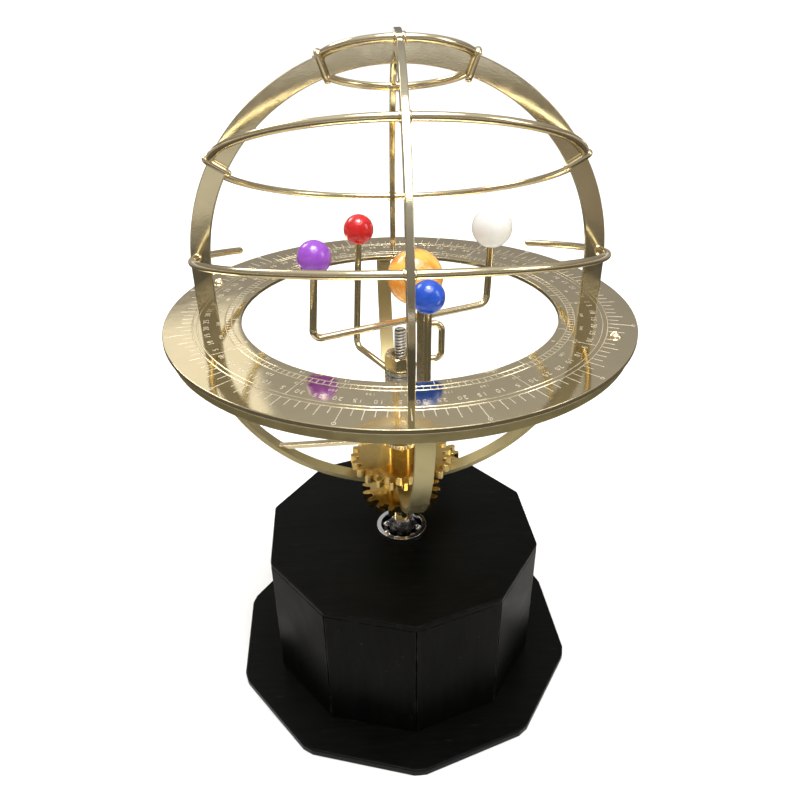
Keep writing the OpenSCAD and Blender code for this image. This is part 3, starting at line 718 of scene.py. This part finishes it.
FLOOR = (0.86, 0.86, 0.85)
floor_points = [(-6.0, -6.0, 0.0), (6.0, -6.0, 0.0), (6.0, 6.0, 0.0), (-6.0, 6.0, 0.0)]
stage_mesh("floor", floor_points, [(0, 1, 2, 3)], FLOOR)
reflected_only(stage_mesh("near_card", *disc(0.20, 0.0005, inner=0.07), (0.40, 0.39, 0.37), rough=0.9))
reflected_only(stage_mesh("dark_card", *disc(0.60, 0.0005, inner=0.20), (0.05, 0.045, 0.035), rough=0.9))
reflected_only(stage_mesh("far_card", *disc(2.5, 0.0005, inner=0.60), (0.20, 0.17, 0.13), rough=0.9))
patch_points = [(-0.55, -1.2, 0.001), (-0.10, -1.2, 0.001), (-0.10, -0.62, 0.001), (-0.55, -0.62, 0.001)]
reflected_only(stage_mesh("bright_card", patch_points, [(0, 1, 2, 3)], (0.5, 0.48, 0.42), rough=0.9))

WALL_R, WALL_H, WALL_SIDES = 5.0, 7.0, 96
wall_points, wall_faces = [], []
for k in range(WALL_SIDES):
    turn = 2 * math.pi * k / WALL_SIDES
    a, b = WALL_R * math.cos(turn), WALL_R * math.sin(turn)
    following = 2 * ((k + 1) % WALL_SIDES)
    wall_points += [(a, b, 0.0), (a, b, WALL_H)]
    wall_faces.append((2 * k, following, following + 1, 2 * k + 1))
wall = stage_mesh("backdrop", wall_points, wall_faces, FLOOR, glow=0.75)
wall.visible_glossy = False
wall.visible_diffuse = False
wall.visible_shadow = False

world = bpy.data.worlds.new("soft_room")
world.use_nodes = True
world.node_tree.nodes.clear()
sky = maker(world.node_tree)
height = sky("SeparateXYZ", {"Vector": sky("TexCoord").outputs["Generated"]}).outputs["Z"]
gradient = sky("ValToRGB", {"Fac": height})
stops = gradient.color_ramp.elements
stops[0].position, stops[0].color = 0.0, (0.20, 0.185, 0.175, 1)
stops[1].position, stops[1].color = 1.0, (0.85, 0.85, 0.85, 1)
for place, level in ((0.25, (0.30, 0.28, 0.27, 1)), (0.62, (0.46, 0.45, 0.44, 1))):
    stops.new(place).color = level
background = sky("Background", {"Color": gradient.outputs["Color"], "Strength": 1.0})
sky("OutputWorld", {"Surface": background.outputs[0]})
bpy.context.scene.world = world


def soft_light(name, location, target, size, power, colour=(1.0, 0.98, 0.95)):
    light = bpy.data.lights.new(name, "AREA")
    light.shape = "RECTANGLE"
    light.size, light.size_y = size
    light.energy = power
    light.color = colour
    holder = bpy.data.objects.new(name, light)
    holder.location = location
    holder.rotation_euler = (Vector(target) - Vector(location)).to_track_quat("-Z", "Y").to_euler()
    bpy.context.scene.collection.objects.link(holder)
    return holder


soft_light("overhead", (0.0, -0.15, 1.5), (0.0, 0.0, 0.1), (0.45, 0.45), 12.0)
soft_light("rear_panel", (-0.55, 1.53, 1.02), (-0.05, 0.0, 0.14), (0.45, 0.42), 0.4, (1.0, 0.95, 0.84))
day = bpy.data.lights.new("day", "SUN")
day.energy = 2.4
day.angle = math.radians(50)
day_holder = bpy.data.objects.new("day", day)
day_holder.rotation_euler = (math.radians(14), math.radians(4), 0.0)
bpy.context.scene.collection.objects.link(day_holder)
soft_light("back_left", (-1.3, 1.2, 1.5), (0.0, 0.0, 0.1), (0.9, 0.7), 12.0, (1.0, 0.97, 0.92))
soft_light("right_fill", (1.7, -0.5, 1.0), (0.0, 0.0, 0.1), (0.6, 1.0), 7.0)

CAMERA_PLACE = (-0.00874, -0.22036, 0.2410)
YAW, PITCH, ROLL = math.radians(2.22), math.radians(30.07), 0.0085
forward = Vector((math.sin(YAW) * math.cos(PITCH), math.cos(YAW) * math.cos(PITCH), -math.sin(PITCH)))
level_right = forward.cross(Vector((0, 0, 1))).normalized()
level_up = level_right.cross(forward)
right = (level_right - ROLL * level_up).normalized()
up = right.cross(forward)
camera_data = bpy.data.cameras.new("camera")
camera_data.lens = 32.63
camera_data.sensor_width = 36.0
camera_data.clip_start = 0.01
camera = bpy.data.objects.new("camera", camera_data)
facing = Matrix((right, up, -forward)).transposed().to_4x4()
camera.matrix_world = Matrix.Translation(CAMERA_PLACE) @ facing
bpy.context.scene.collection.objects.link(camera)
bpy.context.scene.camera = camera
bpy.context.scene.view_settings.view_transform = "Standard"
